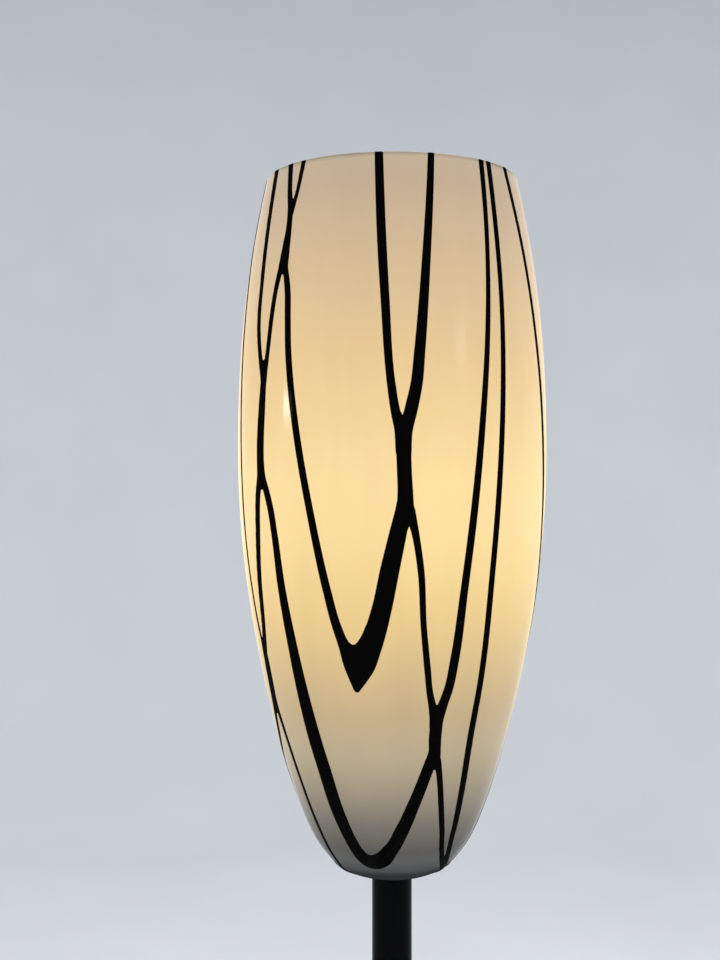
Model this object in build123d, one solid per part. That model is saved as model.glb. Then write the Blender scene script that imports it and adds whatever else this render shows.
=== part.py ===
from build123d import *
import math
import os

# Torchiere floor lamp: a tall open-topped opal glass shade on a slim tubular pole and a round weighted foot.
# Millimetres, +Z up, origin on the floor under the pole's axis, the lamp's front towards -Y.

# ---- driving dimensions ----
POLE_D = 25.0
POLE_WALL = 1.25
POLE_SECTIONS = 3
SHADE_BOTTOM_Z = 1306.0
SHADE_H = 434.0
BASE_D = 280.0
BASE_H = 28.0

GAP = 0.1                    # working clearance between separate pieces
THREAD_GAP = 0.05            # radial clearance where one piece screws into another
M10_R = 5.0                  # lamp thread M10x1
M10_BORE_R = 3.6             # wire way through a threaded tube
THREAD_PITCH = 1.0
THREAD_DEPTH = 0.35
FLEX_D = 4.5                 # twin flex up the pole
LEAD_D = 2.2                 # single insulated switch lead

# ---- foot ----
PAD_T = 2.5
PAD_R = 133.0
PLATE_T = 2.0
PLATE_R = 135.0
PLATE_TOP_Z = PAD_T + PLATE_T
COVER_T = 1.2
COVER_R = BASE_D / 2
COVER_EDGE_R = 12.0
COVER_SKIRT_Z = PAD_T
WEIGHT_R = 126.0
WEIGHT_TOP_Z = 16.0
HUB_R = 58.0
HUB_TOP_Z = BASE_H - COVER_T - GAP
WELL_R = 32.0                # central well under the hub, where the pole's nut and the wires are
WELL_TOP_Z = 20.0
WIRE_Z = 8.4                 # height of the flex across the well
INLET_Z = 11.5
INLET_R = 3.4                # for a 6.5 mm mains flex
GROMMET_R = 5.2
GROMMET_FLANGE_R = 6.7
GROOVE_W = 22.0
GROOVE_TOP_Z = 14.5
BLOCK_SIZE = (24.0, 30.0, 9.0)
BLOCK_Y = 64.0
TERMINAL_X = 6.0             # brass terminals, two each side of the block's middle
TERMINAL_DY = 8.0
TERMINAL_R = 2.2
EARTH_X = 19.0
EARTH_Y = 12.0
PLATE_SCREW_R = 112.0
PLATE_SCREW_COUNT = 3
PLATE_SCREW_FIRST_DEG = 30.0

# ---- foot switch ----
SWITCH_Y = -84.0
SWITCH_BODY_R = 16.0
SWITCH_NECK_R = 12.5
SWITCH_BORE_R = 10.3
SWITCH_FLOOR_Z = 9.0
SWITCH_NECK_TOP_Z = BASE_H + 3.0
BUTTON_R = 10.0
BUTTON_TRAVEL = 3.5
BUTTON_PROUD = BUTTON_TRAVEL + 2.0
BUTTON_FLANGE_R = 12.9
BUTTON_FLANGE_TOP_Z = 23.8
BUTTON_FLANGE_T = 2.0
SPRING_PLAY = 0.15           # slack at each end of the switch's spring
SPRING_SEAT_T = 1.2

# ---- pole ----
POLE_R = POLE_D / 2
POLE_BORE_R = POLE_R - POLE_WALL
PLUG_R = POLE_BORE_R - THREAD_GAP
POLE_BOTTOM_Z = BASE_H
SEAT_WASHER_T = 1.5
PLUG_FLANGE_T = 2.0
POLE_TOP_Z = SHADE_BOTTOM_Z - SEAT_WASHER_T - PLUG_FLANGE_T
SECTION_L = (POLE_TOP_Z - POLE_BOTTOM_Z) / POLE_SECTIONS
COUPLER_L = 50.0
COUPLER_BORE_R = 6.5
COLLAR_R = 22.0
COLLAR_H = 13.0
STUD_BOTTOM_Z = 14.4
STUD_TOP_Z = 46.0
NUT_AF = 17.0
THIN_NUT_T = 4.0

# ---- glass shade, its outline given from its own bottom ----
GLASS_T = 3.1
GLASS_FLOOR_T = 5.0
GLASS_HOLE_R = 5.6
INNER_FLAT_R = 20.0
RIM_R = 79.4
# radius and height of the underside's slope, then of the outer wall from the corner to the rim
UNDERSIDE = [(23.0, 0.0), (29.5, 2.3), (34.4, 4.7), (36.4, 6.4)]
OUTER_WALL = [(36.4, 6.4), (46.4, 18.8), (56.4, 39.0), (65.4, 64.5), (78.6, 113.0), (89.4, 168.0),
              (96.0, 228.0), (97.0, 288.0), (93.6, 348.0), (87.0, 396.0), (RIM_R, SHADE_H)]
CORNER_TANGENT = (0.64, 0, 0.77)
RIM_TANGENT = (-0.21, 0, 0.98)
INNER_FOOT = (33.5, 9.8)

# ---- shade fixing and riser ----
CLAMP_WASHER_R = 15.0
CLAMP_WASHER_T = 2.0
CLAMP_DISC_R = 16.5
CLAMP_DISC_T = 1.5
RISER_R = 7.0
RISER_L = 92.0
NIPPLE_ENGAGE = 12.0

# ---- lampholder and bulb ----
HOLDER_R = 20.0
HOLDER_CAP_H = 17.0
HOLDER_BODY_H = 38.0
HOLDER_WALL = 1.8
HOLDER_SCREW_X = 10.0
HOLDER_SCREW_R = 2.4
CONTACT_R = 3.2
CAP_THREAD_R = 12.5          # mean radius of the bulb cap's rounded thread
CAP_THREAD_AMP = 0.45
SHELL_THREAD_R = 13.65       # mean radius of the holder shell's rounded thread
SHELL_T = 0.45
LAMP_PITCH = 3.63            # Edison 27 thread
LAMP_TURNS = 5
BULB_R = 30.0
BULB_L = 108.0
BULB_CENTRE = BULB_L - BULB_R
BULB_CAP_L = 26.0
BULB_WALL = 0.8
BULB_NECK_R = 13.7
FILAMENT_COUNT = 4

# ---- heights that follow, from the shade's floor up to the bulb ----
CLAMP_WASHER_Z = SHADE_BOTTOM_Z + GLASS_FLOOR_T
CLAMP_DISC_Z = CLAMP_WASHER_Z + CLAMP_WASHER_T
CLAMP_NUT_Z = CLAMP_DISC_Z + CLAMP_DISC_T
RISER_Z = CLAMP_NUT_Z + THIN_NUT_T
HOLDER_Z = RISER_Z + RISER_L
BODY_Z = HOLDER_Z + HOLDER_CAP_H
CORE_Z = BODY_Z - 3.0
SHELL_Z = CORE_Z + 8.0
SHELL_TOP_Z = SHELL_Z + LAMP_TURNS * LAMP_PITCH
BULB_Z = HOLDER_Z + 23.5     # tip of the bulb's contact, screwed home
CAP_RIM_Z = BULB_Z + BULB_CAP_L - 3.0
STEM_BASE_Z = BULB_Z + 30.0
STEM_TOP_Z = BULB_Z + 58.0


# ---- shaping helpers ----
def edge_points(points):
    """Radius-height pairs as points of the XZ plane."""
    return [(r, 0, z) for r, z in points]


def turned(*lines):
    """Solid of revolution about Z from a closed outline of lines and curves in the XZ plane."""
    edges = [edge for line in lines for edge in line.edges()]
    return revolve(make_face(edges), axis=Axis.Z)


def turned_polygon(points):
    """Solid of revolution about Z from radius-height pairs."""
    return turned(Polyline(*edge_points(points), close=True))


def tube(r_out, r_in, z_low, z_high, chamfer_top=0.0, chamfer_bottom=0.0):
    """Upright ring or rod with chamfered outer edges."""
    points = [(r_in, z_low), (r_out - chamfer_bottom, z_low)]
    if chamfer_bottom:
        points.append((r_out, z_low + chamfer_bottom))
    if chamfer_top:
        points.append((r_out, z_high - chamfer_top))
    points += [(r_out - chamfer_top, z_high), (r_in, z_high)]
    return turned_polygon(points)


def threaded_tube(r_out, r_in, z_low, z_high):
    """Upright tube whose outside is cut with ring grooves at the lamp thread's pitch."""
    points = [(r_in, z_low), (r_out - THREAD_DEPTH, z_low)]
    turns = int((z_high - z_low - THREAD_PITCH) / THREAD_PITCH)
    for turn in range(turns):
        z = z_low + THREAD_PITCH * (turn + 0.5)
        points.append((r_out, z))
        points.append((r_out - THREAD_DEPTH, z + THREAD_PITCH / 2))
    points += [(r_out - THREAD_DEPTH, z_high), (r_in, z_high)]
    return turned_polygon(points)


def hex_nut(across_flats, r_in, z_low, z_high):
    """Hexagonal nut with its corners turned off."""
    corner_r = across_flats / math.sqrt(3)
    blank = Pos(0, 0, z_low) * extrude(RegularPolygon(corner_r, 6), z_high - z_low)
    turned_off = (corner_r - across_flats / 2) * 0.7
    return blank & tube(corner_r, r_in, z_low, z_high, turned_off, turned_off)


def block(x_size, y_size, z_low, z_high, x=0.0, y=0.0):
    """Upright box centred on x, y."""
    return Pos(x, y, (z_low + z_high) / 2) * Box(x_size, y_size, z_high - z_low)


def knuckles(mean_r, amplitude, z_low, turns, pitch=LAMP_PITCH):
    """Rounded screw thread drawn as rings: half-pitch arcs, bulging out and in by turns, going up."""
    edges = []
    for half in range(2 * turns):
        bulge = amplitude if half % 2 == 0 else -amplitude
        z = z_low + half * pitch / 2
        edges.append(ThreePointArc((mean_r, 0, z), (mean_r + bulge, 0, z + pitch / 4),
                                   (mean_r, 0, z + pitch / 2)))
    return edges


def cable(points, diameter):
    """Round cable along straight runs joined by arcs, each as large as its two runs allow."""
    vectors = [Vector(*p) for p in points]
    radii = []
    for before, at, after in zip(vectors, vectors[1:], vectors[2:]):
        run = min((at - before).length, (after - at).length)
        turn = math.radians((at - before).get_angle(after - at))
        radii.append(0.45 * run / math.tan(turn / 2))
    path = FilletPolyline(*vectors, radius=radii)
    solid = sweep(Plane(path @ 0, z_dir=path % 0) * Circle(diameter / 2), path=path)
    share = solid.volume / (math.pi * diameter ** 2 / 4 * path.length)
    print("cable radii", [round(r, 1) for r in radii], "length", round(path.length, 1),
          "volume share", round(share, 4))
    return solid


def around(shape, count, first_deg):
    """Copies of a shape, evenly spaced about Z."""
    return [Rot(0, 0, first_deg + 360 / count * i) * shape for i in range(count)]


# ---- foot ----
def base_pad():
    return tube(PAD_R, 0, 0, PAD_T, 0.6, 0.6)


def countersink(clearance):
    """Cone and shank of one plate screw, or its hole when clearance is given."""
    head_r, shank_r, tip_z = 3.9 + clearance, 2.0 + clearance, 13.5 + clearance
    head_z = PAD_T + 1.9
    return Pos(PLATE_SCREW_R, 0, 0) * turned_polygon(
        [(0, PAD_T), (head_r, PAD_T), (shank_r, head_z + clearance), (shank_r, tip_z), (0, tip_z)])


def plate_screws():
    slot = block(6.0, 0.9, PAD_T, PAD_T + 0.8, PLATE_SCREW_R)
    return Compound(around(countersink(0) - slot, PLATE_SCREW_COUNT, PLATE_SCREW_FIRST_DEG))


def bottom_plate():
    plate = tube(PLATE_R, 0, PAD_T, PLATE_TOP_Z, 0.5)
    for hole in around(countersink(GAP), PLATE_SCREW_COUNT, PLATE_SCREW_FIRST_DEG):
        plate -= hole
    return plate


def base_weight():
    z0 = PLATE_TOP_Z
    body = turned_polygon([(0, z0), (WEIGHT_R - 3, z0), (WEIGHT_R, z0 + 3), (WEIGHT_R, WEIGHT_TOP_Z - 4),
                           (WEIGHT_R - 4, WEIGHT_TOP_Z), (HUB_R + 8, WEIGHT_TOP_Z), (HUB_R, HUB_TOP_Z),
                           (0, HUB_TOP_Z)])
    body -= tube(WELL_R, 0, z0 - 1, WELL_TOP_Z)
    body -= tube(M10_R + THREAD_GAP, 0, z0, HUB_TOP_Z + 1)
    groove_end = WEIGHT_R + 5
    body -= block(GROOVE_W, groove_end, z0 - 1, GROOVE_TOP_Z, 0, groove_end / 2)
    body -= block(BLOCK_SIZE[0] + 4, BLOCK_SIZE[1] + 6, z0 - 1, BLOCK_SIZE[2] + 6.2, 0, BLOCK_Y)
    body -= block(GROOVE_W, -SWITCH_Y, z0 - 1, GROOVE_TOP_Z - 3, 0, SWITCH_Y / 2)
    body -= Pos(0, SWITCH_Y, 0) * tube(SWITCH_BODY_R + 3, 0, z0 - 1, WEIGHT_TOP_Z + 1)
    for hole in around(countersink(GAP), PLATE_SCREW_COUNT, PLATE_SCREW_FIRST_DEG):
        body -= hole
    return body


def base_cover():
    top, inner_top = BASE_H, BASE_H - COVER_T
    outer_r, inner_r = COVER_R, COVER_R - COVER_T
    bend, inner_bend = COVER_EDGE_R, COVER_EDGE_R - COVER_T
    diagonal = math.sqrt(0.5)
    hole_r = M10_R + 0.3
    shell = turned(
        Polyline(*edge_points([(hole_r, inner_top), (hole_r, top), (outer_r - bend, top)])),
        ThreePointArc((outer_r - bend, 0, top),
                      (outer_r - bend * (1 - diagonal), 0, top - bend * (1 - diagonal)),
                      (outer_r, 0, top - bend)),
        Polyline(*edge_points([(outer_r, top - bend), (outer_r, COVER_SKIRT_Z), (inner_r, COVER_SKIRT_Z),
                               (inner_r, top - bend)])),
        ThreePointArc((inner_r, 0, top - bend),
                      (inner_r - inner_bend * (1 - diagonal), 0, inner_top - inner_bend * (1 - diagonal)),
                      (outer_r - bend, 0, inner_top)),
        Line((outer_r - bend, 0, inner_top), (hole_r, 0, inner_top)))
    shell -= Pos(0, SWITCH_Y, 0) * tube(SWITCH_NECK_R + GAP, 0, inner_top - 1, top + 1)
    shell -= Pos(0, COVER_R, INLET_Z) * Rot(90, 0, 0) * Cylinder(GROMMET_R + GAP, 20)
    return shell


def cord_grommet():
    """Bush in the skirt at the back, bored for the mains flex; turned about Y."""
    inner_y, flange_y, outer_y = 133.0, 138.2, 139.6
    lip = 0.8
    outline = [(INLET_R, inner_y), (GROMMET_FLANGE_R - lip, inner_y), (GROMMET_FLANGE_R, inner_y + lip),
               (GROMMET_FLANGE_R, flange_y), (GROMMET_R, flange_y), (GROMMET_R, outer_y - 0.4),
               (GROMMET_R - 0.4, outer_y), (INLET_R, outer_y)]
    return Pos(0, 0, INLET_Z) * Rot(-90, 0, 0) * turned_polygon(outline)


def terminal_block():
    x_size, y_size, z_size = BLOCK_SIZE
    low = 5.2
    body = block(x_size, y_size, low, low + z_size, 0, BLOCK_Y)
    body = fillet(body.edges().filter_by(Axis.Z), 1.5)
    body -= block(1.2, y_size + 2, low - 1, low + 4, 0, BLOCK_Y)
    for x in (-TERMINAL_X, TERMINAL_X):
        for y in (BLOCK_Y - TERMINAL_DY, BLOCK_Y + TERMINAL_DY):
            body -= Pos(x, y, 0) * tube(TERMINAL_R + GAP, 0, low - 1, low + 4 + GAP)
    return body


def terminal_screws():
    low = 6.0
    head = tube(TERMINAL_R, 0, low, low + 3.2, 0, 0.3) - block(0.7, 5, low - 1, low + 0.8)
    return Compound([Pos(x, BLOCK_Y + y, 0) * head for x in (-TERMINAL_X, TERMINAL_X)
                     for y in (-TERMINAL_DY, TERMINAL_DY)])


def earth_lug():
    """Ring terminal and screw on the weight's well roof, which earths the metalwork."""
    centre = Pos(EARTH_X, EARTH_Y, 0)
    ring = tube(5, 2.1, WELL_TOP_Z - 1.2, WELL_TOP_Z - GAP)
    tail = block(4, 10, WELL_TOP_Z - 1.2, WELL_TOP_Z - GAP, 0, -8)
    barrel = Pos(0, -14, WELL_TOP_Z - 2) * Rot(90, 0, 0) * Cylinder(1.7, 6)
    return centre * (ring + tail + barrel - tube(2.1, 0, WELL_TOP_Z - 2, WELL_TOP_Z))


def earth_screw():
    z = WELL_TOP_Z - 1.2 - GAP
    head = tube(3.6, 0, z - 2.2, z, 0, 0.6)
    slot = block(8, 0.8, z - 3, z - 1.4)
    return Pos(EARTH_X, EARTH_Y, 0) * (head + tube(1.95, 0, z - 1, z + 1.2) - slot)


# ---- foot switch ----
def switch_body():
    top = SWITCH_NECK_TOP_Z
    roof_low, roof_high = BUTTON_FLANGE_TOP_Z + 2 * GAP, BASE_H - COVER_T - GAP
    low, inner_r = SWITCH_FLOOR_Z, SWITCH_BODY_R - 2
    outline = [(0, low), (SWITCH_BODY_R - 1, low), (SWITCH_BODY_R, low + 1), (SWITCH_BODY_R, roof_high),
               (SWITCH_NECK_R, roof_high), (SWITCH_NECK_R, top - 0.5), (SWITCH_NECK_R - 0.5, top),
               (SWITCH_BORE_R, top), (SWITCH_BORE_R, roof_low), (inner_r, roof_low), (inner_r, low + 2),
               (0, low + 2)]
    return Pos(0, SWITCH_Y, 0) * turned_polygon(outline)


def switch_ring():
    """Ring nut that clamps the switch to the cover, knurled so that it can be turned by hand."""
    r = SWITCH_NECK_R + 5.5
    z0, z1 = BASE_H, BASE_H + 2.8
    ring = tube(r, SWITCH_NECK_R + GAP, z0, z1, 0.9)
    notch = Pos(r + 0.4, 0, 0) * tube(0.9, 0, z0 - 1, z1 + 1)
    for cut in around(notch, 36, 0):
        ring -= cut
    return Pos(0, SWITCH_Y, 0) * ring


def switch_button():
    flange_low = BUTTON_FLANGE_TOP_Z - BUTTON_FLANGE_T
    crown_z = SWITCH_NECK_TOP_Z + BUTTON_PROUD
    edge_r, dome_drop = BUTTON_R - 0.8, 1.4
    dome_r = (edge_r ** 2 + dome_drop ** 2) / (2 * dome_drop)
    middle_drop = dome_r - math.sqrt(dome_r ** 2 - edge_r ** 2 / 4)
    button = turned(
        Polyline(*edge_points([(0, flange_low), (BUTTON_FLANGE_R, flange_low),
                               (BUTTON_FLANGE_R, BUTTON_FLANGE_TOP_Z), (BUTTON_R, BUTTON_FLANGE_TOP_Z),
                               (BUTTON_R, crown_z - 2.4), (edge_r, crown_z - dome_drop)])),
        ThreePointArc((edge_r, 0, crown_z - dome_drop), (edge_r / 2, 0, crown_z - middle_drop),
                      (0, 0, crown_z)),
        Line((0, 0, crown_z), (0, 0, flange_low)))
    spring_seat = tube(9.4, 5.5, flange_low - 1, flange_low + SPRING_SEAT_T)
    return Pos(0, SWITCH_Y, 0) * (button - spring_seat)


def coil_spring(mean_r, wire_d, z_low, z_high, turns):
    """Compression spring with one flat ring at each end, so that it stands square."""
    height = z_high - z_low - 2 * wire_d
    helix = Helix(pitch=height / turns, height=height, radius=mean_r)
    wire = sweep(Plane(helix @ 0, z_dir=helix % 0) * Circle(wire_d / 2), path=helix)
    wire = Pos(0, 0, z_low + wire_d) * wire
    overlap = wire_d * 0.05
    low_ring = tube(mean_r + wire_d / 2, mean_r - wire_d / 2, z_low, z_low + wire_d - overlap)
    high_ring = tube(mean_r + wire_d / 2, mean_r - wire_d / 2, z_high - wire_d + overlap, z_high)
    return wire + low_ring + high_ring


def switch_spring():
    low = SWITCH_FLOOR_Z + 2 + SPRING_PLAY
    top = BUTTON_FLANGE_TOP_Z - BUTTON_FLANGE_T + SPRING_SEAT_T - SPRING_PLAY
    return Pos(0, SWITCH_Y, 0) * coil_spring(7.5, 1.1, low, top, 4)


def switch_terminals():
    tab = block(1.0, 4.0, 5.4, SWITCH_FLOOR_Z, 0, SWITCH_Y + 8)
    return Compound([Pos(x, 0, 0) * tab for x in (-6.0, 6.0)])


def switch_leads():
    """Two leads in the front groove, from the terminal block to the switch's tabs."""
    end_y = SWITCH_Y + 10.0 + GAP
    start_y = BLOCK_Y - BLOCK_SIZE[1] / 2 - GAP
    route = [(7.0, start_y), (8.0, 30.0), (7.6, 6.0), (6.6, -18.0), (6.9, -44.0), (6.0, end_y)]
    right = cable([(x, y, 6.8) for x, y in route], LEAD_D)
    left = cable([(-x, y, 6.8) for x, y in route], LEAD_D)
    return Compound([right, left])


# ---- pole ----
def base_stud():
    return threaded_tube(M10_R, M10_BORE_R, STUD_BOTTOM_Z, STUD_TOP_Z)


def base_washer():
    return tube(13.0, M10_R + 0.2, WELL_TOP_Z - 1.6, WELL_TOP_Z)


def base_nut():
    top = WELL_TOP_Z - 1.6
    return hex_nut(NUT_AF, M10_R + THREAD_GAP, top - THIN_NUT_T + 0.3, top)


def foot_collar():
    """Turned collar that covers the joint of pole and foot."""
    r_in, z0, z1 = POLE_R + GAP, BASE_H, BASE_H + COLLAR_H
    return turned(
        Polyline(*edge_points([(r_in, z0), (COLLAR_R, z0), (COLLAR_R, z0 + 3)])),
        ThreePointArc((COLLAR_R, 0, z0 + 3), (COLLAR_R - 4.2, 0, z0 + 7.4), (r_in + 2.0, 0, z1 - 1)),
        Polyline(*edge_points([(r_in + 2.0, z1 - 1), (r_in + 1.2, z1), (r_in, z1), (r_in, z0)])))


def foot_plug():
    """Threaded slug in the foot of the pole, which the stud screws into."""
    return tube(PLUG_R, M10_R + THREAD_GAP, POLE_BOTTOM_Z, POLE_BOTTOM_Z + 22, 0.8, 0.8)


def pole_section(index):
    low = POLE_BOTTOM_Z + index * SECTION_L
    return tube(POLE_R, POLE_BORE_R, low, low + SECTION_L, 0.35, 0.35)


def pole_coupler(index):
    """Spigot that joins one pole section to the next, with a wire way and a relieved waist."""
    middle = POLE_BOTTOM_Z + (index + 1) * SECTION_L
    low, high = middle - COUPLER_L / 2, middle + COUPLER_L / 2
    waist_r = PLUG_R - 0.6
    return turned_polygon([(COUPLER_BORE_R, low), (PLUG_R - 1, low), (PLUG_R, low + 1), (PLUG_R, middle - 6),
                           (waist_r, middle - 5), (waist_r, middle + 5), (PLUG_R, middle + 6),
                           (PLUG_R, high - 1), (PLUG_R - 1, high), (COUPLER_BORE_R, high)])


def top_plug():
    """Slug in the pole's head, with a flange of the pole's own width that carries the shade."""
    low = POLE_TOP_Z - 22
    flange_top = POLE_TOP_Z + PLUG_FLANGE_T
    bore = M10_R + THREAD_GAP
    return turned_polygon([(bore, low), (PLUG_R - 1, low), (PLUG_R, low + 1), (PLUG_R, POLE_TOP_Z),
                           (POLE_R - 0.35, POLE_TOP_Z), (POLE_R, POLE_TOP_Z + 0.35),
                           (POLE_R, flange_top - 0.3), (POLE_R - 0.3, flange_top), (bore, flange_top)])


# ---- shade and its fixing ----
def inward(points, thickness):
    """Wall points moved inwards, square to the wall, by its thickness."""
    moved = []
    for i, (r, z) in enumerate(points):
        before, after = points[max(i - 1, 0)], points[min(i + 1, len(points) - 1)]
        dr, dz = after[0] - before[0], after[1] - before[1]
        length = math.hypot(dr, dz)
        moved.append((r - thickness * dz / length, z + thickness * dr / length))
    return moved


def glass_shade():
    """Blown opal glass: flat drilled floor, rounded foot, swelling wall and a fire-polished rim."""
    inner = inward(OUTER_WALL, GLASS_T)[1:]
    inner[-1] = (RIM_R - GLASS_T, SHADE_H)
    shell = turned(
        Line((GLASS_HOLE_R, 0, 0), (UNDERSIDE[0][0], 0, 0)),
        Spline(*edge_points(UNDERSIDE), tangents=[(0.98, 0, 0.17), CORNER_TANGENT]),
        Spline(*edge_points(OUTER_WALL), tangents=[CORNER_TANGENT, RIM_TANGENT]),
        ThreePointArc((RIM_R, 0, SHADE_H), (RIM_R - GLASS_T / 2, 0, SHADE_H + GLASS_T * 0.45),
                      (RIM_R - GLASS_T, 0, SHADE_H)),
        Spline(*edge_points(inner[::-1] + [INNER_FOOT, (INNER_FLAT_R, GLASS_FLOOR_T)]),
               tangents=[tuple(-t for t in RIM_TANGENT), (-1, 0, 0)]),
        Polyline(*edge_points([(INNER_FLAT_R, GLASS_FLOOR_T), (GLASS_HOLE_R, GLASS_FLOOR_T),
                               (GLASS_HOLE_R, 0)])))
    return Pos(0, 0, SHADE_BOTTOM_Z) * shell


def seat_washer():
    return tube(POLE_R - 0.2, M10_R + 0.2, SHADE_BOTTOM_Z - SEAT_WASHER_T, SHADE_BOTTOM_Z, 0.2, 0.2)


def clamp_washer():
    return tube(CLAMP_WASHER_R, M10_R + 0.2, CLAMP_WASHER_Z, CLAMP_DISC_Z, 0.3, 0.3)


def clamp_disc():
    return tube(CLAMP_DISC_R, M10_R + 0.2, CLAMP_DISC_Z, CLAMP_NUT_Z, 0.4)


def clamp_nut():
    return hex_nut(NUT_AF, M10_R + THREAD_GAP, CLAMP_NUT_Z, RISER_Z)


def shade_nipple():
    """Threaded tube through the glass floor, from the pole's head plug into the riser."""
    return threaded_tube(M10_R, M10_BORE_R, POLE_TOP_Z - 16, RISER_Z + NIPPLE_ENGAGE)


def riser_tube():
    return tube(RISER_R, M10_R + THREAD_GAP, RISER_Z, HOLDER_Z, 0.5, 0.5)


def holder_nipple():
    return threaded_tube(M10_R, M10_BORE_R, HOLDER_Z - NIPPLE_ENGAGE, HOLDER_Z + 7)


# ---- lampholder ----
def holder_cap():
    """Lower half of the holder: a domed cup with a threaded boss for the nipple."""
    r = HOLDER_R
    inner = r - HOLDER_WALL
    neck = M10_R + THREAD_GAP
    return turned(
        Line((neck, 0, HOLDER_Z), (10, 0, HOLDER_Z)),
        ThreePointArc((10, 0, HOLDER_Z), (r - 2.2, 0, HOLDER_Z + 4.6), (r, 0, HOLDER_Z + 11)),
        Polyline(*edge_points([(r, HOLDER_Z + 11), (r, BODY_Z), (inner, BODY_Z), (inner, HOLDER_Z + 11)])),
        ThreePointArc((inner, 0, HOLDER_Z + 11), (inner - 2.0, 0, HOLDER_Z + 6.0), (9.5, 0, HOLDER_Z + 2.2)),
        Polyline(*edge_points([(9.5, HOLDER_Z + 2.2), (8.2, HOLDER_Z + 7), (neck, HOLDER_Z + 7),
                               (neck, HOLDER_Z)])))


def holder_body():
    """Upper sleeve of the holder, ribbed for grip and drawn in at its mouth."""
    r, low, high = HOLDER_R, BODY_Z + GAP, BODY_Z + HOLDER_BODY_H
    inner = r - HOLDER_WALL
    mouth = 16.4
    sleeve = turned_polygon([(inner, low), (r - 0.3, low), (r, low + 0.3), (r, high - 2.5), (r - 1.2, high),
                             (mouth, high), (mouth, high - 1.8), (inner, high - 3.2)])
    flute = Pos(r + 0.55, 0, 0) * tube(1.0, 0, low + 4, high - 8)
    for cut in around(flute, 24, 0):
        sleeve -= cut
    return sleeve


def holder_core():
    """Ceramic core: holds the screw shell and guides the sprung contact."""
    r = HOLDER_R - HOLDER_WALL - GAP
    bore = SHELL_THREAD_R + CAP_THREAD_AMP + SHELL_T + 0.1
    top = SHELL_TOP_Z + 3
    floor_top = SHELL_Z - 0.6
    core = turned_polygon([(0, CORE_Z), (r, CORE_Z), (r, top - 0.6), (r - 0.6, top), (bore, top),
                           (bore, floor_top), (CONTACT_R + GAP, floor_top), (CONTACT_R + GAP, CORE_Z + 1.6),
                           (0, CORE_Z + 1.6)])
    for x in (-HOLDER_SCREW_X, HOLDER_SCREW_X):
        core -= Pos(x, 0, 0) * tube(HOLDER_SCREW_R + GAP, 0, CORE_Z - 1, CORE_Z + 4.2)
    return core


def holder_terminal_screws():
    low = CORE_Z - 1.2
    screw = tube(HOLDER_SCREW_R, 0, low, CORE_Z + 4.0, 0, 0.4) - block(0.8, 6, low - 1, low + 0.9)
    return Compound([Pos(x, 0, 0) * screw for x in (-HOLDER_SCREW_X, HOLDER_SCREW_X)])


def screw_shell():
    """Rolled brass shell with the rounded Edison thread inside and out."""
    inner_r, outer_r = SHELL_THREAD_R, SHELL_THREAD_R + SHELL_T
    inner_waves = knuckles(inner_r, CAP_THREAD_AMP, SHELL_Z, LAMP_TURNS)
    outer_waves = knuckles(outer_r, CAP_THREAD_AMP, SHELL_Z, LAMP_TURNS)
    return turned(*outer_waves, Line((inner_r, 0, SHELL_TOP_Z), (outer_r, 0, SHELL_TOP_Z)), *inner_waves,
                  Line((inner_r, 0, SHELL_Z), (outer_r, 0, SHELL_Z)))


def contact_pin():
    """Sprung centre contact: a brass plunger that keeps touch with the bulb's tip."""
    low, step, top = BULB_Z - 7.6, BULB_Z - 4.5, BULB_Z - 0.1
    stem_r = 1.6
    return turned_polygon([(0, low), (stem_r, low), (stem_r, step), (CONTACT_R, step), (CONTACT_R, top - 0.8),
                           (CONTACT_R - 0.8, top), (0, top)])


def contact_spring():
    return coil_spring(2.3, 0.5, CORE_Z + 1.7, BULB_Z - 4.6, 4)


# ---- bulb ----
def bulb_outline(inset):
    """Edges of the bulb's envelope, inset by its wall or not, from the crown down to the neck."""
    centre = BULB_Z + BULB_CENTRE
    r = BULB_R - inset
    neck_r = BULB_NECK_R - inset
    neck_top = (neck_r, 0, BULB_Z + 36)
    shoulder, middle = math.radians(35), math.radians(25)
    joint = (r * math.cos(shoulder), 0, centre - r * math.sin(shoulder))
    along = (-math.sin(shoulder), 0, -math.cos(shoulder))
    on_globe = (r * math.cos(middle), 0, centre + r * math.sin(middle))
    globe = ThreePointArc((0, 0, centre + r), on_globe, joint)
    flank = Spline(joint, neck_top, tangents=[along, (0, 0, -1)])
    neck = Line(neck_top, (neck_r, 0, CAP_RIM_Z))
    return [globe, flank, neck]


def bulb_glass():
    top = BULB_Z + BULB_L
    rim = Line((BULB_NECK_R - BULB_WALL, 0, CAP_RIM_Z), (BULB_NECK_R, 0, CAP_RIM_Z))
    crown = Line((0, 0, top), (0, 0, top - BULB_WALL))
    return turned(*bulb_outline(0), rim, *bulb_outline(BULB_WALL), crown)


def bulb_cap():
    """Rolled cap with the rounded thread, cupped over the envelope's neck."""
    thread_low = BULB_Z + 4.0
    thread_top = thread_low + LAMP_TURNS * LAMP_PITCH
    wall = 0.4
    r = CAP_THREAD_R
    neck_in = r - 0.2
    top = CAP_RIM_Z - GAP
    return turned(
        *knuckles(r, CAP_THREAD_AMP, thread_low, LAMP_TURNS),
        Polyline(*edge_points([(r, thread_top), (BULB_NECK_R, top), (neck_in - 1.2, top),
                               (r - CAP_THREAD_AMP - wall, thread_top),
                               (r - CAP_THREAD_AMP - wall, thread_low + wall),
                               (8.0, thread_low - 1.2), (8.3, thread_low - 1.8), (r, thread_low)])))


def bulb_insulator():
    """Black glass disc between the cap and the tip contact."""
    z = BULB_Z
    return turned_polygon([(4.6, z + 0.7), (5.4, z + 0.7), (8.2, z + 2.1), (7.9, z + 2.9), (7.9, z + 4.2),
                           (4.6, z + 4.2)])


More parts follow.
